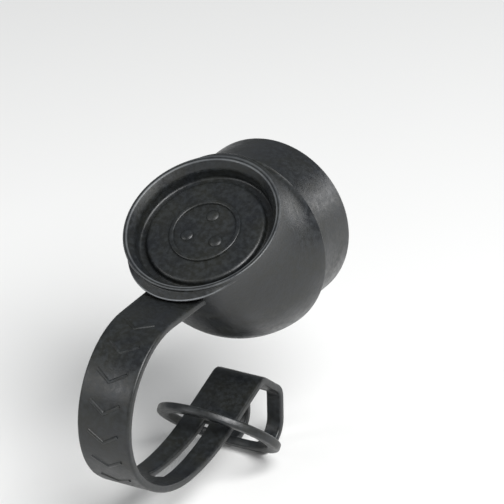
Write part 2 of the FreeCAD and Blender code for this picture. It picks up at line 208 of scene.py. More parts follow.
class RingSizes(bpy.types.PropertyGroup):
    """Sizes of the end ring."""

    lean: angle("Lean", 42, "Ring's plane below the level, towards its back")
    radius: length("Radius", 5.3, "Middle of the ring's band")
    width: length("Width", 1.2, "Width of the ring's band")
    thickness: length("Thickness", 0.8, "Thickness of the ring's band")
    edge_round: length("Edge rounding", 0.24, "Rounding of the ring's edges")


class BadgeSizes(bpy.types.PropertyGroup):
    """Sizes of the raised mark on the head's plate."""

    radius: length("Radius", 3.3, "Outside of the raised ring")
    line: length("Line", 0.45, "Width of the raised ring")
    dot: length("Dot", 0.62, "Radius of a dot")
    spread: length("Spread", 1.65, "Dots from the mark's middle")
    height: length("Height", 0.22, "How far the mark stands out of the plate")


class GripSizes(bpy.types.PropertyGroup):
    """Sizes of the raised chevrons on the strap."""

    start: length("Start", 7.0, "First chevron along the strap from its root")
    pitch: length("Pitch", 2.6, "Distance between chevrons")
    number: count("Number", 7, "How many chevrons")
    half_width: length("Half width", 1.45, "Half the width of a chevron")
    sweep: length("Sweep", 0.9, "Length of a chevron along the strap")
    line: length("Line", 0.17, "Half the width of a chevron's rib")
    height: length("Height", 0.1, "How far the ribs stand out of the strap")


class RubberLook(bpy.types.PropertyGroup):
    """Colours of the rubber."""

    body: colour("Body", "#17191c", "Carbon black rubber")
    bloom: colour("Bloom", "#2b2f32", "Pale film that moulded rubber sweats out")
    olive: colour("Olive", "#1a1b18", "Warm cast in some patches")
    # Pale tone of the edges: partly abrasion, partly painted highlight on the crests and the brow's lip.
    rubbed_and_highlight: colour("Rubbed", "#85888b", "Edges that hands have rubbed pale")


class StudioSizes(bpy.types.PropertyGroup):
    """The floor, the light and the camera."""

    floor_colour: colour("Floor colour", "#e6e6e5", "Pale paper floor")
    sky: share("Sky", 0.23, "Strength of the even light from all round")
    key_power: share("Key power", 3.4, "Power of the soft light above on the right")
    back_power: share("Back power", 0.34, "Power of the low soft light behind on the right")
    front_power: share("Front power", 0.52, "Power of the soft light in front on the left")
    camera_place: bpy.props.FloatVectorProperty(
        name="Camera place", description="Where the camera stands", subtype="TRANSLATION", unit="LENGTH",
        default=(0.111973, -0.194723, 0.105287), precision=5)
    camera_azimuth: angle("Camera azimuth", 29.66, "Camera's way round to the right of the front")
    camera_rise: angle("Camera rise", 25.305, "Camera's tilt below the level")
    camera_roll: angle("Camera roll", -1.2, "Camera's roll about its own line of sight")
    camera_lens: share("Camera lens", 196.97, "Focal length in millimetres on a 36 mm frame")


def add(tree, kind, settings=None, feeds=None):
    """Add a node with its settings, and feed its inputs from sockets or with plain values."""
    node = tree.nodes.new(kind)
    for name, value in (settings or {}).items():
        setattr(node, name, value)
    for key, source in (feeds or {}).items():
        if isinstance(source, bpy.types.NodeSocket):
            tree.links.new(source, node.inputs[key])
        else:
            node.inputs[key].default_value = source
    return node


def rubber(look):
    """Black EPDM rubber, compression moulded.

    The eye sees a satin dark grey, mottled by a faint pale bloom, with a fine grain from the sandblasted
    mould, a soft sheen, and pale edges that are partly abrasion and partly painted highlight.
    """
    name = "moulded_epdm_rubber"
    if name in bpy.data.materials:
        return bpy.data.materials[name]
    material = bpy.data.materials.new(name)
    material.use_nodes = True
    tree = material.node_tree
    tree.nodes.clear()
    place = add(tree, "ShaderNodeTexCoord").outputs["Object"]
    cloud_size = 3.2 * MM
    mottle_size = 0.45 * MM
    # The blasted grain is about 0.05 mm on a real mould, drawn three times as coarse so that it shows.
    grain_size = 0.15 * MM
    clouds = add(tree, "ShaderNodeTexNoise", None, {
        "Vector": place, "Scale": 1 / cloud_size, "Detail": 4.0, "Roughness": 0.6, "Distortion": 0.4})
    mottle = add(tree, "ShaderNodeTexNoise", None, {
        "Vector": place, "Scale": 1 / mottle_size, "Detail": 3.0, "Roughness": 0.6})
    grain = add(tree, "ShaderNodeTexNoise", None, {
        "Vector": place, "Scale": 1 / grain_size, "Detail": 2.0, "Roughness": 0.5})
    cast = add(tree, "ShaderNodeMapRange", None, {
        "Value": clouds.outputs["Fac"], "From Min": 0.35, "From Max": 0.65, "To Min": 0.0, "To Max": 1.0})
    film = add(tree, "ShaderNodeMapRange", None, {
        "Value": mottle.outputs["Fac"], "From Min": 0.42, "From Max": 0.72, "To Min": 0.0, "To Max": 0.5})
    shade = add(tree, "ShaderNodeMix", {"data_type": "RGBA"}, {
        "Factor": cast.outputs["Result"], "A": (*look.body, 1), "B": (*look.olive, 1)})
    skin = add(tree, "ShaderNodeMix", {"data_type": "RGBA"}, {
        "Factor": film.outputs["Result"], "A": shade.outputs["Result"], "B": (*look.bloom, 1)})
    # Painted highlight and abrasion: each point's share lightens the colour towards the pale edge tone.
    edge = add(tree, "ShaderNodeAttribute", {"attribute_name": WEAR_AND_HIGHLIGHT})
    patchy = add(tree, "ShaderNodeMapRange", None, {
        "Value": clouds.outputs["Fac"], "From Min": 0.3, "From Max": 0.6, "To Min": 0.45, "To Max": 1.0})
    rub_and_highlight = add(tree, "ShaderNodeMath", {"operation": "MULTIPLY"}, {
        0: edge.outputs["Fac"], 1: patchy.outputs["Result"]})
    worn_and_lit = add(tree, "ShaderNodeMix", {"data_type": "RGBA"}, {
        "Factor": rub_and_highlight.outputs["Value"], "A": skin.outputs["Result"], "B": (*look.rubbed_and_highlight, 1)})
    sheen = add(tree, "ShaderNodeMath", {"operation": "ADD"}, {
        0: mottle.outputs["Fac"], 1: clouds.outputs["Fac"]})
    rough = add(tree, "ShaderNodeMapRange", None, {
        "Value": sheen.outputs["Value"], "From Min": 0.75, "From Max": 1.25, "To Min": 0.28, "To Max": 0.5})
    swell = add(tree, "ShaderNodeBump", None, {
        "Strength": 0.5, "Distance": 0.03 * MM, "Height": mottle.outputs["Fac"]})
    fine = add(tree, "ShaderNodeBump", None, {
        "Strength": 0.5, "Distance": 0.012 * MM, "Height": grain.outputs["Fac"],
        "Normal": swell.outputs["Normal"]})
    shader = add(tree, "ShaderNodeBsdfPrincipled", None, {
        "Base Color": worn_and_lit.outputs["Result"], "Roughness": rough.outputs["Result"],
        "Normal": fine.outputs["Normal"], "IOR": 1.47})
    add(tree, "ShaderNodeOutputMaterial", None, {"Surface": shader.outputs["BSDF"]})
    return material


def soft_line(corners):
    """The points of a line through corners, each rounded by an arc that takes its cut from both sides.

    Every corner also has a share of abrasion and painted highlight, which fades out towards both ends of
    its arc.
    """
    line = []
    for index, (corner, cut, wear_and_highlight) in enumerate(corners):
        if not cut:
            line.append((corner, wear_and_highlight))
            continue
        back = corners[index - 1][0] - corner
        ahead = corners[index + 1][0] - corner
        first = corner + back.normalized() * min(cut, back.length * MOST_CUT)
        last = corner + ahead.normalized() * min(cut, ahead.length * MOST_CUT)
        pull = 2 * math.sin(back.angle(ahead) / 2)
        for step in range(ARC_STEPS + 1):
            ahead_share = step / ARC_STEPS
            back_share = 1 - ahead_share
            weights = (back_share ** 2, pull * back_share * ahead_share, ahead_share ** 2)
            blend = first * weights[0] + corner * weights[1] + last * weights[2]
            line.append((blend / sum(weights), wear_and_highlight * math.sin(math.pi * ahead_share)))
    return line


def through(places, values, place):
    """The smooth curve through a few values, read at one place."""
    total = 0
    for here, value in zip(places, values):
        for other in places:
            if other != here:
                value *= (place - other) / (here - other)
        total += value
    return total


class Head:
    """The head's own axes: level across it, up its face, and out of its dish."""

    def __init__(self, cap):
        tilt = cap.head_tilt
        self.up = Vector((0, math.sin(tilt), math.cos(tilt)))
        self.out = Vector((0, -math.cos(tilt), math.sin(tilt)))
        self.middle = Vector((0, -cap.head_reach, cap.head_rise))

    def ray(self, turn):
        """The direction from the head's middle to its rim."""
        return ACROSS * math.cos(turn) + self.up * math.sin(turn)

    def point(self, radius, height, turn):
        """A point at a radius round the head's axis and a height over the crest."""
        return self.middle + self.ray(turn) * radius + self.out * height

    def matrix(self, height):
        """Moves a mark drawn flat at the origin onto the head, at a height over the crest."""
        place = self.middle + self.out * height
        return Matrix.Translation(place) @ Matrix((ACROSS, self.up, self.out)).transposed().to_4x4()


class Skirt:
    """The cap's outside, which bends about a level line from the seat plane up to the rim."""

    def __init__(self, cap):
        self.tilt = cap.head_tilt
        self.rim_radius = cap.rim_radius
        self.bend_up = cap.head_rise + cap.head_reach / math.tan(self.tilt)
        self.rim_arm = cap.head_reach / math.sin(self.tilt)
        waist_arm = (self.bend_up + self.rim_arm) / 2 - cap.waist_lift
        self.leans = (0, cap.seat_edge, self.tilt / 2, self.tilt)
        self.arms = (self.bend_up, self.bend_up, waist_arm, self.rim_arm)
        self.radii = (cap.seat_radius, cap.seat_radius - cap.seat_taper, cap.waist_radius, cap.rim_radius)

    def point(self, lean, turn):
        """A point on the section that leans by an angle from the seat plane."""
        arm = through(self.leans, self.arms, lean)
        radius = through(self.leans, self.radii, lean)
        up = Vector((0, math.sin(lean), math.cos(lean)))
        middle = Vector((0, -arm * math.sin(lean), self.bend_up - arm * math.cos(lean)))
        return middle + ACROSS * radius * math.cos(turn) + up * radius * math.sin(turn)

    def lean_below(self, depth, turn):
        """The lean of a point at a depth below the rim, less where the skirt is short."""
        run = self.tilt * (self.rim_arm - self.rim_radius * math.sin(turn))
        return self.tilt * run / (depth + run)

    def below(self, depth, turn):
        """A point of the skirt at a depth below the rim."""
        return self.point(self.lean_below(depth, turn), turn)


def brow_bulge(cap, turn):
    """How far the brow stands out of the skirt, which is nothing away from its front."""
    shift = cap.brow_reach - cap.brow_radius
    ahead = -math.sin(turn)
    side = math.cos(turn)
    if ahead <= 0:
        return 0.0
    lip = shift * ahead + math.sqrt(cap.brow_radius ** 2 - (shift * side) ** 2)
    return max(0.0, lip - cap.rim_radius)


def cap_section(cap, head, skirt, turn):
    """Half a section through the cap, from its plate round the rim and the plug to the hollow's roof."""
    dish = cap.rim_radius - cap.lip_width
    plate = dish - cap.channel_width
    shoulder = dish + (cap.lip_width - cap.rim_round) * cap.lip_share
    rounding = cap.channel_round
    corners = [(head.point(plate * part, -cap.plate_drop, turn), 0, 0) for part in PLATE_SHARES]
    for radius, height, cut, wear_and_highlight in (
            (plate, -cap.plate_drop, rounding * 2, 0),
            (plate, -cap.channel_depth, rounding, 0),
            (dish, -cap.channel_depth, rounding, 0),
            (dish, -cap.lip_drop, rounding, 0),
            # The crest's two edges get a pale share: partly abrasion, partly a painted highlight line.
            (shoulder, 0, rounding / 2, cap.shoulder_wear_and_highlight),
            (cap.rim_radius, 0, cap.rim_round, cap.crest_wear_and_highlight)):
        corners.append((head.point(radius, height, turn), cut, wear_and_highlight))

    reach = brow_bulge(cap, turn)
    bulge = head.ray(turn) * reach
    # The brow's lip is painted pale, most where it stands out: partly abrasion, partly a painted highlight.
    lip_wear_and_highlight = reach / (cap.brow_reach - cap.rim_radius)
    edge_cut = cap.brow_edge * MOST_CUT
    under = cap.brow_drop + cap.brow_edge / 4
    corners.append((skirt.below(cap.rim_round, turn), edge_cut, 0))
    corners.append((skirt.below(cap.brow_drop - cap.brow_edge, turn) + bulge, edge_cut, lip_wear_and_highlight))
    corners.append((skirt.below(cap.brow_drop, turn) + bulge, edge_cut, lip_wear_and_highlight))
    corners.append((skirt.below(under, turn), edge_cut, 0))

    top = skirt.lean_below(under + cap.brow_edge, turn)
    leans = [top * (1 - row / SKIRT_ROWS) for row in range(SKIRT_ROWS)]
    corners += [(skirt.point(lean, turn), 0, 0) for lean in leans]

    ray = ACROSS * math.cos(turn) + Vector((0, 0, math.sin(turn)))
    tip = cap.plug_length
    lead = cap.plug_lead
    for radius, back, cut in (
            (cap.seat_radius, 0, rounding / 2),
            (cap.plug_radius, 0, rounding / 2),
            (cap.plug_radius, tip - lead, rounding),
            (cap.plug_radius - lead, tip, rounding),
            (cap.bore_radius, tip, rounding)):
        corners.append((ray * radius + Vector((0, back, 0)), cut, 0))

    mouth = ray * cap.bore_radius
    roof = head.point(cap.roof_radius, -cap.roof_drop, turn)
    corners += [(mouth.lerp(roof, row / HOLLOW_ROWS), 0, 0) for row in range(HOLLOW_ROWS)]
    corners.append((roof, rounding * 2, 0))
    corners.append((head.point(cap.roof_radius / 2, -cap.roof_drop, turn), 0, 0))
    return soft_line(corners)


def closed_skin(name, sections, first_pole, last_pole):
    """A closed mesh over sections set in a ring, with a pole at both ends of every section."""
    mesh = bmesh.new()
    worn_and_lit = mesh.verts.layers.float.new(WEAR_AND_HIGHLIGHT)
    lattice = []
    for section in sections:
        lattice.append([mesh.verts.new(point) for point, _ in section])
        for vertex, (_, wear_and_highlight) in zip(lattice[-1], section):
            vertex[worn_and_lit] = wear_and_highlight
    start = mesh.verts.new(first_pole)
    finish = mesh.verts.new(last_pole)
    for this, following in zip(lattice, lattice[1:] + lattice[:1]):
        mesh.faces.new((start, this[0], following[0]))
        mesh.faces.new((finish, following[-1], this[-1]))
        for row in range(len(this) - 1):
            mesh.faces.new((this[row], this[row + 1], following[row + 1], following[row]))
    bmesh.ops.recalc_face_normals(mesh, faces=mesh.faces)
    made = bpy.data.meshes.new(name)
    mesh.to_mesh(made)
    mesh.free()
    return made


def place_piece(name, mesh):
    """Put a finished mesh in the scene, smooth but for its sharp edges, and have it ride with the cover."""
    mesh.name = name
    mesh.shade_smooth()
    mesh.set_sharp_from_angle(angle=SHARP_TURN)
    if not mesh.materials:
        mesh.materials.append(rubber(bpy.context.scene.cover_look))
    piece = bpy.data.objects.new(name, mesh)
    bpy.context.scene.collection.objects.link(piece)
    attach(piece, BODY)
    return piece


def new_tree(name, inputs):
    """A geometry tree with named inputs. Gives the tree and its input node."""
    tree = bpy.data.node_groups.new(name, "GeometryNodeTree")
    tree.interface.new_socket("Geometry", in_out="INPUT", socket_type="NodeSocketGeometry")
    for label, kind in inputs:
        tree.interface.new_socket(label, in_out="INPUT", socket_type=kind)
    tree.interface.new_socket("Geometry", in_out="OUTPUT", socket_type="NodeSocketGeometry")
    return tree, add(tree, "NodeGroupInput")


def end_tree(tree, geometry, finish):
    """End a tree: make its instances real and give them their finish."""
    real = add(tree, "GeometryNodeRealizeInstances", None, {"Geometry": geometry})
    painted = add(tree, "GeometryNodeSetMaterial", None, {
        "Geometry": real.outputs["Geometry"], "Material": finish})
    add(tree, "NodeGroupOutput", None, {"Geometry": painted.outputs["Geometry"]})


def grow(tree, values, base=None):
    """Run a geometry tree on a mesh, or on none, and give its result as a plain mesh."""
    seed = bpy.data.objects.new("seed", base or bpy.data.meshes.new("seed"))
    bpy.context.scene.collection.objects.link(seed)
    modifier = seed.modifiers.new("tree", "NODES")
    modifier.node_group = tree
    for socket in tree.interface.items_tree:
        if socket.in_out == "INPUT" and socket.name in values:
            modifier[socket.identifier] = values[socket.name]
    depsgraph = bpy.context.evaluated_depsgraph_get()
    mesh = bpy.data.meshes.new_from_object(seed.evaluated_get(depsgraph))
    seed_mesh = seed.data
    bpy.data.objects.remove(seed)
    bpy.data.meshes.remove(seed_mesh)
    if not mesh.polygons:
        raise RuntimeError(f"{tree.name} made no faces")
    return mesh


class Route:
    """The strap's way in the plane across X, as straight runs and arcs that flow into each other."""

    def __init__(self, strap, lean):
        right_angle = math.pi / 2
        self.place = Vector((0, -strap.root_reach, strap.level))
        self.heading = math.pi
        self.length = 0.0
        self.knots = []
        self.go(strap.root_run)
        self.bend(strap.front_radius, strap.front_turn)
        self.bend(strap.belly_radius, math.pi - strap.front_turn)
        self.bend(strap.rise_radius, strap.rise_turn)
        self.go(strap.rise_run)
        self.bend(strap.crown_radius, -(strap.rise_turn + strap.hook_slope))
        self.go(strap.slope_run)
        self.bend(strap.hook_radius, -(right_angle - strap.hook_slope))
        self.hook_end = self.length
        self.go(strap.hook_run)
        self.bend(strap.tail_radius, -(right_angle + lean))
        self.go(strap.tail_run)
        self.knots.append((self.place.copy(), self.forward()))

    def forward(self):
        """The direction of travel."""
        return Vector((0, math.cos(self.heading), math.sin(self.heading)))

    def go(self, run):
        """Go straight on."""
        handle = self.forward() * run / 3
        self.knots.append((self.place.copy(), handle))
        self.place += self.forward() * run
        self.length += run

    def bend(self, radius, turn):
        """Go round an arc, to the left for a positive turn, in parts that a spline can follow."""
        parts = math.ceil(abs(turn) / SPLINE_TURN)
        part = turn / parts
        handle = radius * 4 / 3 * math.tan(abs(part) / 4)
        chord = 2 * radius * math.sin(abs(part) / 2)
        for _ in range(parts):
            self.knots.append((self.place.copy(), self.forward() * handle))
            self.heading += part / 2
            self.place += self.forward() * chord
            self.heading += part / 2
        self.length += radius * abs(turn)

    def curve(self):
        """The route as a curve object, for a tree to read."""
        line = bpy.data.curves.new("strap_route", "CURVE")
        line.dimensions = "3D"
        line.resolution_u = SPLINE_POINTS
        spline = line.splines.new("BEZIER")
        spline.bezier_points.add(len(self.knots) - 1)
        before = self.knots[0][1]
        for point, (place, ahead) in zip(spline.bezier_points, self.knots):
            point.co = place
            point.handle_left = place - ahead.normalized() * before.length
            point.handle_right = place + ahead
            before = ahead
        route = bpy.data.objects.new("strap_route", line)
        bpy.context.scene.collection.objects.link(route)
        return route


def lay_on_route(tree, geometry, route):
    """Bend what is drawn flat, with its length along Y, along a route in the plane across X."""
    flat = add(tree, "ShaderNodeSeparateXYZ", None, {
        "Vector": add(tree, "GeometryNodeInputPosition").outputs["Position"]})
    line = add(tree, "GeometryNodeObjectInfo", None, {"Object": route})
    spot = add(tree, "GeometryNodeSampleCurve", {"mode": "LENGTH", "use_all_curves": True}, {
        "Curves": line.outputs["Geometry"], "Length": flat.outputs["Y"]})
    outward = add(tree, "ShaderNodeVectorMath", {"operation": "CROSS_PRODUCT"}, {
        0: spot.outputs["Tangent"], 1: ACROSS})
    raised = add(tree, "ShaderNodeVectorMath", {"operation": "SCALE"}, {
        "Vector": outward.outputs["Vector"], "Scale": flat.outputs["Z"]})
    aside = add(tree, "ShaderNodeCombineXYZ", None, {"X": flat.outputs["X"]})
    moved = add(tree, "ShaderNodeVectorMath", {"operation": "ADD"}, {
        0: spot.outputs["Position"], 1: raised.outputs["Vector"]})
    place = add(tree, "ShaderNodeVectorMath", {"operation": "ADD"}, {
        0: moved.outputs["Vector"], 1: aside.outputs["Vector"]})
    return add(tree, "GeometryNodeSetPosition", None, {
        "Geometry": geometry, "Position": place.outputs["Vector"]}).outputs["Geometry"]


def even_places(marks, step):
    """Places from the first mark to the last, evenly spaced between each two marks."""
    places = [marks[0]]
    for first, last in zip(marks, marks[1:]):
        parts = max(1, round((last - first) / step))
        places += [first + (last - first) * part / parts for part in range(1, parts + 1)]
    return places


def strap_sheet(strap, route):
    """The strap laid flat: its outline, its slit and the gap between its legs, as one layer of faces."""
    slit_end = strap.slit_start + strap.slit_length
    leg_start = route.hook_end - strap.leg_start
    # The slit's wide end is cut off at 45 degrees over this length.
    tip = strap.slit_wide / 3
    marks = (0, strap.root_run, strap.slit_start, strap.slit_start + tip, slit_end, leg_start, route.length)
    places = even_places(marks, strap.step)

    def half_gap(along):
        """Half the width of the slit, of the leg gap, or of the closed middle lane."""
        if along >= leg_start:
            return strap.leg_gap / 2
        if along > slit_end:
            part = (along - slit_end) / (leg_start - slit_end)
            return (strap.slit_narrow + (strap.leg_gap - strap.slit_narrow) * part) / 2
        if along < strap.slit_start:
            return strap.slit_narrow / 2
        into = along - strap.slit_start
        width = strap.slit_wide + (strap.slit_narrow - strap.slit_wide) * into / strap.slit_length
        return width / 2 - max(0, tip - into)

    lanes = STRAP_LANES
    mesh = bmesh.new()
    rows = []
    for along in places:
        taper = min(1, along / strap.root_run)
        half = (strap.root_width + (strap.width - strap.root_width) * taper) / 2
        gap = half_gap(along)
        right = [gap + (half - gap) * lane / lanes for lane in range(lanes + 1)]
        spots = [-spot for spot in reversed(right)] + right
        rows.append([mesh.verts.new((spot, along, 0)) for spot in spots])
    for start, this, following in zip(places, rows, rows[1:]):
        in_slit = strap.slit_start <= start < slit_end
        open_lane = lanes if in_slit or start >= leg_start else None
        for lane in range(len(this) - 1):
            if lane != open_lane:
                mesh.faces.new((this[lane], this[lane + 1], following[lane + 1], following[lane]))
    made = bpy.data.meshes.new("strap_sheet")
    mesh.to_mesh(made)
    mesh.free()
    return made


def thicken(sheet, thickness, rounding):
    """Give a flat sheet its thickness, and round the edges of its two faces."""
    slab = bpy.data.objects.new("slab", sheet)
    bpy.context.scene.collection.objects.link(slab)
    wall = slab.modifiers.new("wall", "SOLIDIFY")
    wall.thickness = thickness
    wall.offset = 0
    depsgraph = bpy.context.evaluated_depsgraph_get()
    made = bpy.data.meshes.new_from_object(slab.evaluated_get(depsgraph))
    bpy.data.objects.remove(slab)
    bpy.data.meshes.remove(sheet)
    mesh = bmesh.new()
    mesh.from_mesh(made)
    bmesh.ops.recalc_face_normals(mesh, faces=mesh.faces)
    edges = [edge for edge in mesh.edges if sum(abs(face.normal.z) > 0.5 for face in edge.link_faces) == 1]
    bmesh.ops.bevel(
        mesh, geom=edges, offset=rounding, offset_type="OFFSET", segments=ROUNDING_STEPS, profile=0.5,
        affect="EDGES", clamp_overlap=False)
    mesh.to_mesh(made)
    mesh.free()
    return made


def strap_tree(finish):
    """Lays the flat strap on its route."""
    tree, given = new_tree("strap_on_its_route", (("Route", "NodeSocketObject"),))
    end_tree(tree, lay_on_route(tree, given.outputs["Geometry"], given.outputs["Route"]), finish)
    return tree


def band_profile(tree, width, thickness, rounding):
    """The rounded rectangle of a flat band, as a curve."""
    box = add(tree, "GeometryNodeCurvePrimitiveQuadrilateral", None, {"Width": width, "Height": thickness})
    soft = add(tree, "GeometryNodeFilletCurve", {"mode": "POLY"}, {
        "Curve": box.outputs["Curve"], "Count": ROUNDING_STEPS, "Radius": rounding})
    return soft.outputs["Curve"]


def ring_tree(finish):
    """A flat band swept round a circle."""
    sizes = ("Radius", "Width", "Thickness", "Rounding")
    tree, given = new_tree("ring_band", [(label, "NodeSocketFloat") for label in sizes])
    path = add(tree, "GeometryNodeCurvePrimitiveCircle", None, {
        "Resolution": RING_POINTS, "Radius": given.outputs["Radius"]})
    profile = band_profile(
        tree, given.outputs["Width"], given.outputs["Thickness"], given.outputs["Rounding"])
    band = add(tree, "GeometryNodeCurveToMesh", None, {
        "Curve": path.outputs["Curve"], "Profile Curve": profile})
    end_tree(tree, band.outputs["Mesh"], finish)
    return tree


def badge_tree(finish):
    """A raised ring round three domed dots."""
    sizes = ("Radius", "Line", "Dot", "Spread", "Height")
    tree, given = new_tree("three_dot_badge", [(label, "NodeSocketFloat") for label in sizes])
    # Half of the ring's band and of every dot is sunk into the plate, so that they stand out of it whole.
    tall = add(tree, "ShaderNodeMath", {"operation": "MULTIPLY"}, {0: given.outputs["Height"], 1: 2.0})
    inset = add(tree, "ShaderNodeMath", {"operation": "MULTIPLY_ADD"}, {
        0: given.outputs["Line"], 1: -0.5, 2: given.outputs["Radius"]})
    soft = add(tree, "ShaderNodeMath", {"operation": "MULTIPLY"}, {0: given.outputs["Line"], 1: 0.3})
    path = add(tree, "GeometryNodeCurvePrimitiveCircle", None, {
        "Resolution": BADGE_POINTS, "Radius": inset.outputs["Value"]})
    profile = band_profile(tree, given.outputs["Line"], tall.outputs["Value"], soft.outputs["Value"])
    band = add(tree, "GeometryNodeCurveToMesh", None, {
        "Curve": path.outputs["Curve"], "Profile Curve": profile})
    squat = add(tree, "ShaderNodeCombineXYZ", None, {
        "X": given.outputs["Dot"], "Y": given.outputs["Dot"], "Z": given.outputs["Height"]})
    ball = add(tree, "GeometryNodeMeshUVSphere", None, {
        "Segments": DOT_SEGMENTS, "Rings": DOT_RINGS, "Radius": 1.0})
    dome = add(tree, "GeometryNodeTransform", None, {
        "Geometry": ball.outputs["Mesh"], "Scale": squat.outputs["Vector"]})
    corners = add(tree, "GeometryNodeMeshCircle", None, {"Vertices": 3, "Radius": given.outputs["Spread"]})
    upright = add(tree, "GeometryNodeTransform", None, {
        "Geometry": corners.outputs["Mesh"], "Rotation": (0, 0, math.pi / 2)})
    dots = add(tree, "GeometryNodeInstanceOnPoints", None, {
        "Points": upright.outputs["Geometry"], "Instance": dome.outputs["Geometry"]})
    both = add(tree, "GeometryNodeJoinGeometry")
    tree.links.new(band.outputs["Mesh"], both.inputs["Geometry"])
    tree.links.new(dots.outputs["Instances"], both.inputs["Geometry"])
    end_tree(tree, both.outputs["Geometry"], finish)
    return tree


def grip_tree(finish):
    """Chevrons repeated along the flat strap, then laid on its route."""
    sizes = ("Start", "Pitch", "Half width", "Sweep", "Line", "Height", "Face")
    inputs = [("Route", "NodeSocketObject"), ("Number", "NodeSocketInt")]
    tree, given = new_tree("grip_chevrons", inputs + [(label, "NodeSocketFloat") for label in sizes])
    foot = add(tree, "ShaderNodeCombineXYZ", None, {"X": given.outputs["Half width"]})
    far_foot = add(tree, "ShaderNodeVectorMath", {"operation": "SCALE"}, {
        "Vector": foot.outputs["Vector"], "Scale": -1.0})
    level_line = add(tree, "GeometryNodeCurvePrimitiveLine", None, {
        "Start": far_foot.outputs["Vector"], "End": foot.outputs["Vector"]})
    fine = add(tree, "GeometryNodeResampleCurve", None, {
        "Curve": level_line.outputs["Curve"], "Count": CHEVRON_POINTS})
    spot = add(tree, "ShaderNodeSeparateXYZ", None, {
        "Vector": add(tree, "GeometryNodeInputPosition").outputs["Position"]})
    aside = add(tree, "ShaderNodeMath", {"operation": "ABSOLUTE"}, {0: spot.outputs["X"]})
    portion = add(tree, "ShaderNodeMath", {"operation": "DIVIDE"}, {
        0: aside.outputs["Value"], 1: given.outputs["Half width"]})
    nearness = add(tree, "ShaderNodeMath", {"operation": "SUBTRACT"}, {0: 1.0, 1: portion.outputs["Value"]})
    ahead = add(tree, "ShaderNodeMath", {"operation": "MULTIPLY"}, {
        0: nearness.outputs["Value"], 1: given.outputs["Sweep"]})
    fold = add(tree, "ShaderNodeCombineXYZ", None, {"Y": ahead.outputs["Value"]})
    folded = add(tree, "GeometryNodeSetPosition", None, {
        "Geometry": fine.outputs["Curve"], "Offset": fold.outputs["Vector"]})
    bead = add(tree, "GeometryNodeCurvePrimitiveCircle", None, {
        "Resolution": BEAD_POINTS, "Radius": given.outputs["Line"]})
    rib = add(tree, "GeometryNodeCurveToMesh", None, {
        "Curve": folded.outputs["Geometry"], "Profile Curve": bead.outputs["Curve"], "Fill Caps": True})
    rise = add(tree, "ShaderNodeMath", {"operation": "SUBTRACT"}, {
        0: given.outputs["Height"], 1: given.outputs["Line"]})
    level = add(tree, "ShaderNodeMath", {"operation": "ADD"}, {
        0: rise.outputs["Value"], 1: given.outputs["Face"]})
    first = add(tree, "ShaderNodeCombineXYZ", None, {
        "Y": given.outputs["Start"], "Z": level.outputs["Value"]})
    stride = add(tree, "ShaderNodeCombineXYZ", None, {"Y": given.outputs["Pitch"]})
    row = add(tree, "GeometryNodeMeshLine", None, {
        "Count": given.outputs["Number"], "Start Location": first.outputs["Vector"],
        "Offset": stride.outputs["Vector"]})
    repeated = add(tree, "GeometryNodeInstanceOnPoints", None, {
        "Points": row.outputs["Mesh"], "Instance": rib.outputs["Mesh"]})
    real = add(tree, "GeometryNodeRealizeInstances", None, {"Geometry": repeated.outputs["Instances"]})
    end_tree(tree, lay_on_route(tree, real.outputs["Geometry"], given.outputs["Route"]), finish)
    return tree


class COVER_OT_cap(bpy.types.Operator):
    """Make the dished head, the bent skirt and the hollow plug as one skin"""

    bl_idname = "cover.cap"
    bl_label = "Cap"

    def execute(self, context):
        cap = context.scene.cover_cap
        head = Head(cap)
        skirt = Skirt(cap)
        turns = [2 * math.pi * part / cap.turns for part in range(cap.turns)]
        sections = [cap_section(cap, head, skirt, turn) for turn in turns]
        plate = head.point(0, -cap.plate_drop, 0)
        roof = head.point(0, -cap.roof_drop, 0)
        piece = place_piece("cap", closed_skin("cap", sections, plate, roof))
        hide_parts(NODE)
        return {"FINISHED"}


class COVER_OT_strap(bpy.types.Operator):
    """Make the flat strap with its slit and legs, bent round its loop and over its hook"""

    bl_idname = "cover.strap"
    bl_label = "Strap"

    def execute(self, context):
        strap = context.scene.cover_strap
        finish = rubber(context.scene.cover_look)
        route = Route(strap, context.scene.cover_ring.lean)
        line = route.curve()
        slab = thicken(strap_sheet(strap, route), strap.thickness, strap.edge_round)
        piece = place_piece("strap", grow(strap_tree(finish), {"Route": line}, slab))
        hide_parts(NODE)
        bpy.data.objects.remove(line)
        return {"FINISHED"}


class COVER_OT_ring(bpy.types.Operator):
    """Make the flat ring at the strap's end"""

    bl_idname = "cover.ring"
    bl_label = "End ring"

    def execute(self, context):
        ring = context.scene.cover_ring
        strap = context.scene.cover_strap
        mesh = grow(ring_tree(rubber(context.scene.cover_look)), {
            "Radius": ring.radius, "Width": ring.width, "Thickness": ring.thickness,
            "Rounding": ring.edge_round})
        route = Route(strap, ring.lean)
        middle = route.place + route.forward() * (ring.radius - strap.tail_run)
        mesh.transform(Matrix.Translation(middle) @ Matrix.Rotation(-ring.lean, 4, "X"))
        piece = place_piece("end_ring", mesh)
        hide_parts(NODE)
        return {"FINISHED"}


class COVER_OT_badge(bpy.types.Operator):
    """Make the raised mark on the head's plate, a ring with three dots"""

    bl_idname = "cover.badge"
    bl_label = "Badge"

    def execute(self, context):
        badge = context.scene.cover_badge
        cap = context.scene.cover_cap
        mesh = grow(badge_tree(rubber(context.scene.cover_look)), {
            "Radius": badge.radius, "Line": badge.line, "Dot": badge.dot, "Spread": badge.spread,
            "Height": badge.height})
        mesh.transform(Head(cap).matrix(-cap.plate_drop))
        place_piece("badge", mesh)
        return {"FINISHED"}


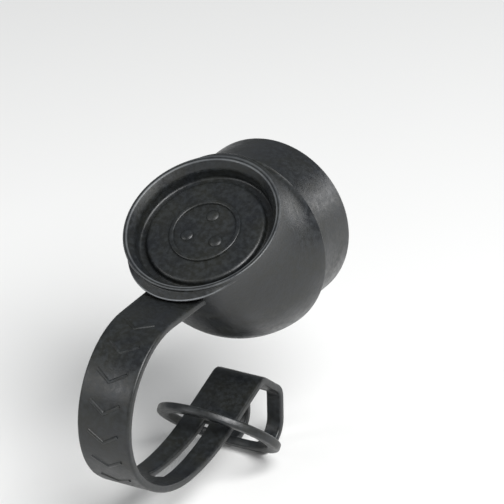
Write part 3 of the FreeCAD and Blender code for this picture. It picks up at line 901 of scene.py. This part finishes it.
class COVER_OT_grips(bpy.types.Operator):
    """Make the raised chevrons along the front of the strap"""

    bl_idname = "cover.grips"
    bl_label = "Grip chevrons"

    def execute(self, context):
        grip = context.scene.cover_grip
        strap = context.scene.cover_strap
        line = Route(strap, context.scene.cover_ring.lean).curve()
        mesh = grow(grip_tree(rubber(context.scene.cover_look)), {
            "Route": line, "Number": grip.number, "Start": grip.start, "Pitch": grip.pitch,
            "Half width": grip.half_width, "Sweep": grip.sweep, "Line": grip.line, "Height": grip.height,
            "Face": strap.thickness / 2})
        place_piece("grip_chevrons", mesh)
        bpy.data.objects.remove(line)
        return {"FINISHED"}


def paper(shade):
    """Matt studio paper: an even pale field with no gloss."""
    material = bpy.data.materials.new("matt_studio_paper")
    material.use_nodes = True
    tree = material.node_tree
    tree.nodes.clear()
    shader = add(tree, "ShaderNodeBsdfPrincipled", None, {
        "Base Color": (*shade, 1), "Roughness": 0.9, "Specular IOR Level": 0.1})
    add(tree, "ShaderNodeOutputMaterial", None, {"Surface": shader.outputs["BSDF"]})
    return material


def soft_box(name, place, aim, size, power):
    """A rectangular soft light that faces a point."""
    light = bpy.data.lights.new(name, "AREA")
    light.shape = "RECTANGLE"
    light.size, light.size_y = size
    light.energy = power
    lamp = bpy.data.objects.new(name, light)
    lamp.location = place
    lamp.rotation_euler = (Vector(aim) - Vector(place)).to_track_quat("-Z", "Y").to_euler()
    bpy.context.scene.collection.objects.link(lamp)


class COVER_OT_studio(bpy.types.Operator):
    """Make the pale floor, the soft light and the camera"""

    bl_idname = "cover.studio"
    bl_label = "Studio"

    def execute(self, context):
        scene = context.scene
        studio = scene.cover_studio
        mesh = bpy.data.meshes.new("floor")
        sides = ((-1, -1), (1, -1), (1, 1), (-1, 1))
        corners = [(x * FLOOR_HALF, y * FLOOR_HALF, LOW.z) for x, y in sides]
        mesh.from_pydata(corners, [], [(0, 1, 2, 3)])
        mesh.materials.append(paper(studio.floor_colour))
        floor = bpy.data.objects.new("floor", mesh)
        scene.collection.objects.link(floor)

        world = bpy.data.worlds.new("studio")
        world.use_nodes = True
        world.node_tree.nodes.clear()
        sky = add(world.node_tree, "ShaderNodeBackground", None, {
            "Color": SKY_TINT, "Strength": studio.sky})
        add(world.node_tree, "ShaderNodeOutputWorld", None, {"Surface": sky.outputs["Background"]})
        scene.world = world
        middle = (LOW + HIGH) / 2
        soft_box("key_light", KEY_PLACE, middle, KEY_SIZE, studio.key_power)
        soft_box("back_light", BACK_PLACE, middle, BACK_SIZE, studio.back_power)
        soft_box("front_light", FRONT_PLACE, middle, FRONT_SIZE, studio.front_power)
        # Plain sRGB output keeps the pale floor pale and the rubber as dark as its own colour.
        scene.view_settings.view_transform = "Standard"

        lens = bpy.data.cameras.new("camera")
        lens.sensor_width = FILM_WIDTH
        lens.lens = studio.camera_lens
        lens.clip_start = 0.01
        camera = bpy.data.objects.new("camera", lens)
        turned = Matrix.Rotation(studio.camera_azimuth, 4, "Z")
        tipped = Matrix.Rotation(math.pi / 2 - studio.camera_rise, 4, "X")
        rolled = Matrix.Rotation(studio.camera_roll, 4, "Z")
        camera.matrix_world = Matrix.Translation(studio.camera_place) @ turned @ tipped @ rolled
        scene.collection.objects.link(camera)
        scene.camera = camera
        return {"FINISHED"}


class COVER_PT_panel(bpy.types.Panel):
    """Lists the cover's pieces"""

    bl_label = "Sealing cover"
    bl_idname = "COVER_PT_panel"
    bl_space_type = "VIEW_3D"
    bl_region_type = "UI"
    bl_category = "Cover"

    def draw(self, context):
        for operator in OPERATORS:
            self.layout.operator(operator.bl_idname)
        for name in GROUPS:
            group = getattr(context.scene, name)
            box = self.layout.box()
            for key in group.__annotations__:
                box.prop(group, key)


GROUPS = {
    "cover_cap": CapSizes,
    "cover_strap": StrapSizes,
    "cover_ring": RingSizes,
    "cover_badge": BadgeSizes,
    "cover_grip": GripSizes,
    "cover_look": RubberLook,
    "cover_studio": StudioSizes,
}
OPERATORS = (
    COVER_OT_cap,
    COVER_OT_strap,
    COVER_OT_ring,
    COVER_OT_badge,
    COVER_OT_grips,
    COVER_OT_studio,
)


def register():
    for name, group in GROUPS.items():
        bpy.utils.register_class(group)
        setattr(bpy.types.Scene, name, bpy.props.PointerProperty(type=group))
    for operator in OPERATORS:
        bpy.utils.register_class(operator)
    bpy.utils.register_class(COVER_PT_panel)


def unregister():
    bpy.utils.unregister_class(COVER_PT_panel)
    for operator in reversed(OPERATORS):
        bpy.utils.unregister_class(operator)
    for name, group in reversed(GROUPS.items()):
        delattr(bpy.types.Scene, name)
        bpy.utils.unregister_class(group)


def main():
    """Build every piece and the studio."""
    register()
    bpy.ops.cover.cap()
    bpy.ops.cover.strap()
    bpy.ops.cover.ring()
    bpy.ops.cover.badge()
    bpy.ops.cover.grips()
    bpy.ops.cover.studio()


if __name__ == "__main__":
    main()
